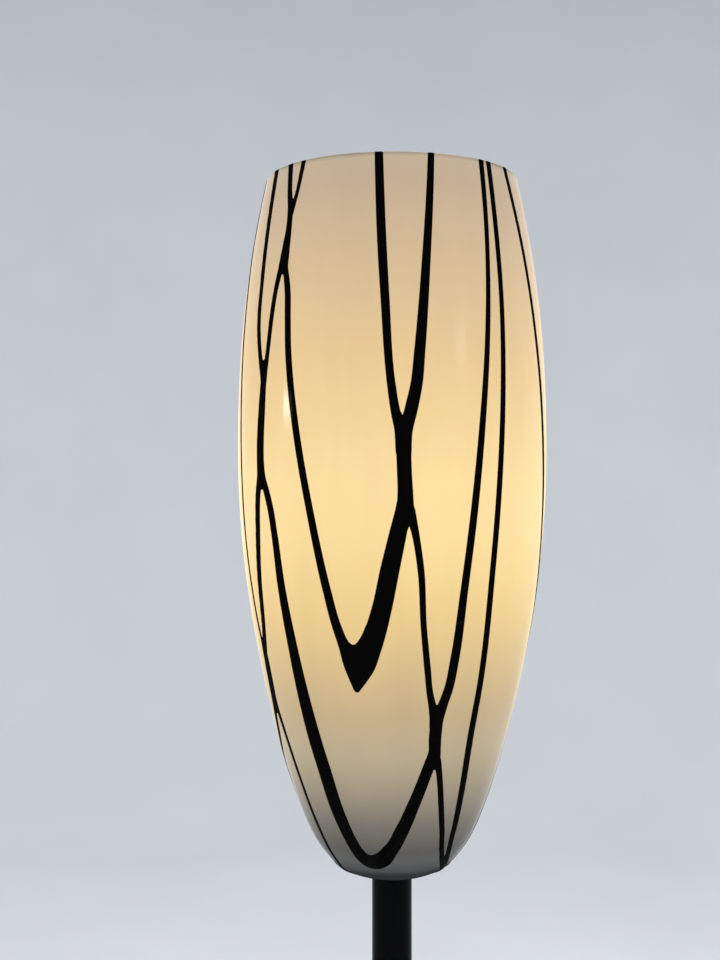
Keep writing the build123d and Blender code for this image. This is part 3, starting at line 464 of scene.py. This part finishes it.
BACK_THREADS = [
    [(92, 438, 4), (96, 390, 4.2), (99, 340, 4.4), (101, 300, 5), (103, 272, 6.5)],
    [(112, 438, 5), (109, 390, 5.2), (106, 330, 5.5), (104, 290, 6), (103, 270, 7)],
    [(103, 276, 7.5), (103, 245, 8.4), (102, 226, 8)],
    [(101.5, 230, 6), (97, 203, 5.2), (92.5, 165, 5.4), (90, 128, 6), (89, 100, 6.5), (87, 60, 5.4),
     (82, 28, 4.6), (76, 6, 4)],
    [(103, 230, 5), (108, 203, 4), (112, 160, 4.2), (115, 125, 5), (117, 100, 6.5)],
    [(131, 438, 4), (130, 380, 4.5), (127, 320, 4.8), (125, 262, 5), (121, 200, 5.4), (119, 150, 5.8),
     (117, 108, 6.8), (116, 84, 7)],
    [(116, 92, 6), (111, 58, 5.4), (104, 26, 5), (99, 6, 4.2)],
    [(116.5, 90, 5), (122, 62, 5), (131, 34, 6), (142, 22, 7), (153, 30, 6.6), (160, 54, 6),
     (164, 84, 6.5)],
    [(125.5, 268, 4.8), (127.5, 222, 4.6), (130, 180, 5), (132.5, 152, 6.5), (134.5, 131, 3.6)],
    [(152, 438, 6), (149, 370, 6), (147, 312, 6.4), (148.4, 272, 7)],
    [(166, 438, 4), (160, 370, 4.6), (154, 312, 5.4), (149.6, 272, 7)],
    [(149, 277, 8), (149.4, 250, 8.8), (149, 232, 9)],
    [(148.4, 236, 7), (144, 205, 8.4), (140, 176, 9.4), (137, 152, 10.5), (134.8, 131, 3.4)],
    [(150, 236, 5), (155, 205, 4), (158.5, 160, 4.4), (161.5, 122, 5.4), (164, 90, 6.6)],
    [(163.8, 94, 6), (168, 68, 6.6), (176, 38, 7.6), (185, 25, 7.6), (195, 32, 6.4), (203, 56, 5.6),
     (208, 82, 6.4)],
    [(184, 438, 4), (186, 380, 4.3), (188, 310, 4.6), (188.5, 240, 5), (186, 185, 5.2), (178, 140, 5.6),
     (169, 108, 6), (164.5, 88, 6)],
    [(204, 438, 4), (206, 370, 4.2), (207, 300, 4.4), (208, 230, 4.8), (209, 160, 5.2),
     (208.6, 110, 6.2), (208.4, 80, 6.4)],
    [(208.6, 86, 5), (213, 54, 4.4), (219, 22, 4.2), (223, 5, 4)],
    [(222, 438, 5), (226, 380, 5.2), (230, 330, 6), (232, 292, 7)],
    [(240, 438, 4), (238, 385, 4.3), (234.5, 335, 5), (232.4, 292, 6.6)],
    [(232, 298, 7.5), (232.6, 262, 8.6), (233, 236, 8.8)],
    [(232.2, 240, 6), (228, 205, 5), (224, 165, 5), (222, 120, 5), (224, 74, 5), (229, 34, 4.8),
     (234, 6, 4)],
    [(233.8, 240, 7), (238.6, 206, 8.2), (243.6, 176, 9.4), (248, 151, 10.6), (251, 129, 3.4)],
    [(259, 438, 4), (260, 380, 4.1), (261, 320, 4.4), (261, 262, 4.8), (259, 205, 5.2),
     (255.4, 162, 6.4), (251.4, 130, 3.6)],
    [(261, 268, 4.6), (265.4, 220, 4.2), (269, 172, 4.4), (270.4, 120, 5), (267, 74, 5.4), (261, 34, 5),
     (256, 6, 4)],
]

CELL = 1.0               # mesh cell of the threads, in mm
WEB = 1.3                # how far melted glass webs across the crotch where threads meet, in mm
RELIEF = 0.30            # how proud the threads stand, in mm
EDGE = 1.0               # width of a thread's rounded shoulder, in mm
SUNK = 0.7               # how deep the threads are let into the opal glass, in mm
REACH = 7.0              # how far from a thread distances are worked out, in mm
END_GAP = 0.4 * CELL     # how far the threads stop short of the grid's first and last rows, in mm
CLEAR = 0.07             # no grid point is taken nearer to an outline, in mm, so no cell is cut to a sliver
LEAST_RADIUS = 20.0      # radius below which a thread's span in columns stops growing, in mm
OVER_RIM = 0.35 * math.pi   # how far round the rim's arc the threads may run

wall = outer_path(CELL)
path = np.vstack([wall, rim_arc(wall, np.linspace(0, OVER_RIM, 5)[1:])])
path_n = path_normals(path)
path_s = np.concatenate([[0], np.cumsum(np.linalg.norm(np.diff(path, axis=0), axis=1))])
WIDEST = max(radius for radius, height in WALL)
COLUMNS = int(round(2 * math.pi * WIDEST / CELL))


def stroke_samples(points, step=0.6):
    """Angle in radians, arc height and half width in mm along a smooth line through a thread's points."""
    p = np.array(points, float)
    heights = np.interp(p[:, 1], path[:, 1], path_s)
    radius = np.interp(p[:, 1], path[:, 1], path[:, 0])
    q = np.stack([np.radians(p[:, 0]), heights, p[:, 2] / 2], axis=1)
    out = []
    for i in range(len(q) - 1):
        a, b, c, d = q[max(i - 1, 0)], q[i], q[i + 1], q[min(i + 2, len(q) - 1)]
        length = math.hypot((c[0] - b[0]) * radius[i], c[1] - b[1])
        # Catmull-Rom with the tangents scaled for uneven spacing
        ta = max(abs(b[1] - a[1]), abs(b[0] - a[0]) * radius[i], 1e-6)
        tb = max(length, 1e-6)
        tc = max(abs(d[1] - c[1]), abs(d[0] - c[0]) * radius[i], 1e-6)
        if i == 0:
            m1 = c - b
        else:
            m1 = tb * ((b - a) / ta * tb + (c - b) / tb * ta) / (ta + tb)
        if i == len(q) - 2:
            m2 = c - b
        else:
            m2 = tb * ((c - b) / tb * tc + (d - c) / tc * tb) / (tb + tc)
        u = np.linspace(0, 1, max(2, int(length / step)), endpoint=False)[:, None]
        out.append((2 * u ** 3 - 3 * u ** 2 + 1) * b + (u ** 3 - 2 * u ** 2 + u) * m1
                   + (3 * u ** 2 - 2 * u ** 3) * c + (u ** 3 - u ** 2) * m2)
    out.append(q[-1:])
    return np.vstack(out)


def thread_field(threads):
    """Distance in mm from the nearest thread's outline, negative inside, at each grid row and column."""
    field = np.full((len(path_s), COLUMNS), REACH)
    for points in threads:
        one = np.full_like(field, REACH)
        for angle, height, half in stroke_samples(points):
            low, high = np.searchsorted(path_s, [height - half - REACH, height + half + REACH])
            rows = np.arange(low, high)
            if not len(rows):
                continue
            radius = max(path[rows, 0].min(), LEAST_RADIUS)
            span = int((half + REACH) / radius / (2 * math.pi) * COLUMNS) + 1
            middle = int(round(angle / (2 * math.pi) * COLUMNS))
            wide = np.arange(middle - span, middle + span + 1)
            across = path[rows, 0][:, None] * (wide * 2 * math.pi / COLUMNS - angle)[None, :]
            distance = np.hypot(across, (path_s[rows] - height)[:, None]) - half
            cells = np.ix_(rows, wide % COLUMNS)
            one[cells] = np.minimum(one[cells], distance)
        blend = np.maximum(WEB - np.abs(field - one), 0) / WEB
        field = np.minimum(field, one) - blend ** 2 * WEB / 4
    field = np.maximum(field, END_GAP - (path_s[-1] - path_s)[:, None])
    field = np.maximum(field, END_GAP - path_s[:, None])
    return np.where(np.abs(field) < CLEAR, np.where(field < 0, -CLEAR, CLEAR), field)


def on_wall(row, column, lift):
    """A point of the grid, between rows or columns too, lifted off the glass by lift mm."""
    i = min(int(row), len(path) - 2)
    t = row - i
    r, z = path[i] * (1 - t) + path[i + 1] * t
    nr, nz = path_n[i] * (1 - t) + path_n[i + 1] * t
    a = column * 2 * math.pi / COLUMNS
    r, z = r + nr * lift, z + nz * lift
    return r * math.sin(a) * MM, -r * math.cos(a) * MM, z * MM + SHADE_Z


def raised(field):
    """Height of the thread's surface over the glass: a rounded shoulder, then flat."""
    shoulder = np.clip(-field / EDGE, 0, 1)
    return RELIEF * np.sqrt(shoulder * (2 - shoulder))


def make_threads(name, threads):
    """One closed mesh of all the threads, webbed together where they meet."""
    field = thread_field(threads)
    height = raised(field)
    rise_row = np.gradient(height, path_s, axis=0)
    rise_col = (np.roll(height, -1, 1) - np.roll(height, 1, 1)) / (path[:, :1] * 4 * math.pi / COLUMNS)
    verts, normals, index = [], [], {}

    def normal_at(row, column):
        """Direction out of the raised surface at a grid point."""
        a = column * 2 * math.pi / COLUMNS
        nr, nz = path_n[row]
        out = np.array([nr * math.sin(a), -nr * math.cos(a), nz])
        up = np.array([-nz * math.sin(a), nz * math.cos(a), nr])
        side = np.array([math.cos(a), math.sin(a), 0])
        c = column % COLUMNS
        n = out - side * np.clip(rise_col[row, c], -1, 1) - up * np.clip(rise_row[row, c], -1, 1)
        return n / np.linalg.norm(n)

    def vertex(key, row, column, lift, normal):
        """Number of the point on the thread's face; the next number is its twin let into the glass."""
        if key not in index:
            index[key] = len(verts)
            verts.append(on_wall(row, column, lift))
            verts.append(on_wall(row, column, -SUNK))
            normals.append(normal)
            normals.append(-normal)
        return index[key]

    def corner(row, column):
        key = (row, column % COLUMNS)
        return vertex(key, row, column, height[key], normal_at(row, column))

    def crossing(a, b):
        """The point where the outline crosses between two neighbouring grid points."""
        (ra, ca), (rb, cb) = sorted([a, b])
        fa, fb = field[ra, ca % COLUMNS], field[rb, cb % COLUMNS]
        t = fa / (fa - fb)
        n = normal_at(ra, ca) * (1 - t) + normal_at(rb, cb) * t
        key = (ra, ca % COLUMNS, rb, cb % COLUMNS)
        return vertex(key, ra + (rb - ra) * t, ca + (cb - ca) * t, 0.0, n / np.linalg.norm(n))

    faces = []
    inside = field < 0
    near = inside[:-1] | inside[1:]
    near |= np.roll(near, -1, 1)
    for row, column in zip(*np.nonzero(near)):
        ring = [(row, column), (row, column + 1), (row + 1, column + 1), (row + 1, column)]
        within = [bool(inside[r, c % COLUMNS]) for r, c in ring]
        if not any(within):
            continue
        face, cut = [], []
        for k in range(4):
            here, after = ring[k], ring[(k + 1) % 4]
            if within[k]:
                face.append(corner(*here))
            if within[k] != within[(k + 1) % 4]:
                face.append(crossing(here, after))
                cut.append((len(face) - 1, within[k]))
        faces.append(tuple(face))
        faces.append(tuple(v + 1 for v in reversed(face)))
        for place, leaving in cut:
            if leaving:
                a, b = face[place], face[(place + 1) % len(face)]
                faces.append((b, a, a + 1, b + 1))
    obj = make_object(name, verts, faces, THREAD_GLASS)
    obj.data.normals_split_custom_set_from_vertices([tuple(n) for n in normals])
    return obj


for name, threads in (("front_glass_threads", FRONT_THREADS), ("back_glass_threads", BACK_THREADS)):
    piece = make_threads(name, threads)
    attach(piece, "stand")

# ---------------------------------------------------------------- springs, wound in place of the CAD ones; on the lamp they give as their pieces move


COIL_STEPS = 48          # points round one turn of a spring
WIRE_SIDES = 14


def make_spring(name, stands_for, wire, turns):
    """A wound spring in place of a CAD one: its end turns lie closed and those between are open."""
    low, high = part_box(stands_for)
    middle_x, middle_y = (low.x + high.x) / 2, (low.y + high.y) / 2
    radius = (high.x - low.x - wire) / 2
    open_pitch = (high.z - low.z - 3 * wire) / (turns - 2)
    verts, faces = [], []
    rings = turns * COIL_STEPS + 1
    for i in range(rings):
        turn = i / COIL_STEPS
        a = 2 * math.pi * turn
        z = low.z + wire / 2 + wire * min(turn, 1) + open_pitch * min(max(turn - 1, 0), turns - 2)
        z += wire * max(turn - (turns - 1), 0)
        for k in range(WIRE_SIDES):
            b = 2 * math.pi * k / WIRE_SIDES
            r = radius + wire / 2 * math.cos(b)
            x, y = middle_x + r * math.cos(a), middle_y + r * math.sin(a)
            verts.append((x, y, z + wire / 2 * math.sin(b)))
    for i in range(rings - 1):
        here, above = i * WIRE_SIDES, (i + 1) * WIRE_SIDES
        for k in range(WIRE_SIDES):
            after = (k + 1) % WIRE_SIDES
            faces.append((here + k, above + k, above + after, here + after))
    faces.append(tuple(range(WIRE_SIDES)))
    faces.append(tuple((rings - 1) * WIRE_SIDES + k for k in reversed(range(WIRE_SIDES))))
    spring = make_object(name, verts, faces, SPRING_STEEL)
    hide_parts(stands_for)
    return spring, low, high


coil, low, high = make_spring("switch_coil", "switch_spring", 1.1 * MM, 5)
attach(coil, "stand")
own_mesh(coil)
coil, low, high = make_spring("contact_coil", "contact_spring", 0.5 * MM, 4)
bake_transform(coil)

# ---------------------------------------------------------------- camera, stage and lights

CAMERA_BACK = 0.8462     # from the lamp's axis, in metres
CAMERA_UP = 0.2338       # above the shade's underside, in metres
CAMERA_TILT = 0.0148     # upwards, in radians
CAMERA_TURN = 1.366      # to the left, in degrees, which puts the lamp a little right of centre

camera_data = bpy.data.cameras.new("camera")
camera_data.lens = 50
camera = bpy.data.objects.new("camera", camera_data)
bpy.context.scene.collection.objects.link(camera)
camera.location = (0, -CAMERA_BACK, SHADE_Z + CAMERA_UP)
camera.rotation_euler = (math.pi / 2 + CAMERA_TILT, 0, math.radians(CAMERA_TURN))
bpy.context.scene.camera = camera


STAGE_FLAT = 5.0         # radius of the level floor, in metres
STAGE_BEND = 2.2         # radius of the sweep from floor to wall, in metres
STAGE_TOP = 6.5          # height of the wall, in metres
STAGE_SEGMENTS = 128


def make_stage():
    """A round pale floor that sweeps up into a wall on every side."""
    section = [(0.0, 0.0), (1.5, 0.0), (3.2, 0.0)]
    for a in np.linspace(0, math.pi / 2, 24):
        section.append((STAGE_FLAT + STAGE_BEND * math.sin(a), STAGE_BEND - STAGE_BEND * math.cos(a)))
    section.append((STAGE_FLAT + STAGE_BEND, STAGE_TOP))
    segments = STAGE_SEGMENTS
    verts, faces = [(0.0, 0.0, 0.0)], []
    for r, z in section[1:]:
        for j in range(segments):
            a = 2 * math.pi * j / segments
            verts.append((r * math.cos(a), r * math.sin(a), z))
    for j in range(segments):
        faces.append((0, 1 + j, 1 + (j + 1) % segments))
    for i in range(len(section) - 2):
        for j in range(segments):
            k = (j + 1) % segments
            a, b = 1 + i * segments, 1 + (i + 1) * segments
            faces.append((a + j, b + j, b + k, a + k))
    mat, tree, bsdf = new_material("studio_floor")
    pale = ramp(tree, noise(tree, 1.5, 2.0), [(0.3, (0.83, 0.835, 0.84)), (0.7, (0.86, 0.865, 0.87))])
    tree.links.new(pale, bsdf.inputs["Base Color"])
    bsdf.inputs["Roughness"].default_value = 0.85
    bsdf.inputs["Specular IOR Level"].default_value = 0.2
    obj = make_object("studio_floor", verts, faces, mat)


def area_light(name, place, aim, size, watts, colour=(1, 1, 1)):
    """A rectangular light at place that faces aim."""
    data = bpy.data.lights.new(name, "AREA")
    data.shape = "RECTANGLE"
    data.size, data.size_y = size
    data.energy = watts
    data.color = colour
    obj = bpy.data.objects.new(name, data)
    bpy.context.scene.collection.objects.link(obj)
    obj.location = place
    obj.rotation_euler = (Vector(aim) - Vector(place)).to_track_quat("-Z", "Y").to_euler()


make_stage()
# the two windows are small, for the two soft reflections on the glass
area_light("overhead", (0.4, 0.3, 5.2), (0, 0, 0), (4.0, 4.0), 190)
area_light("side_window", (-2.55, -0.44, SHADE_Z + 0.545), (0, 0, SHADE_Z + 0.29), (0.33, 0.11), 1.5,
           (0.75, 0.92, 1.0))
area_light("far_window", (1.97, -1.58, SHADE_Z + 0.884), (0, 0, SHADE_Z + 0.32), (0.36, 0.24), 0.5,
           (0.85, 0.93, 1.0))

world = bpy.data.worlds.new("studio")
world.use_nodes = True
background = world.node_tree.nodes["Background"]
background.inputs["Color"].default_value = (0.80, 0.86, 0.95, 1)
background.inputs["Strength"].default_value = 0.6
bpy.context.scene.world = world
bpy.context.scene.view_settings.view_transform = "Standard"
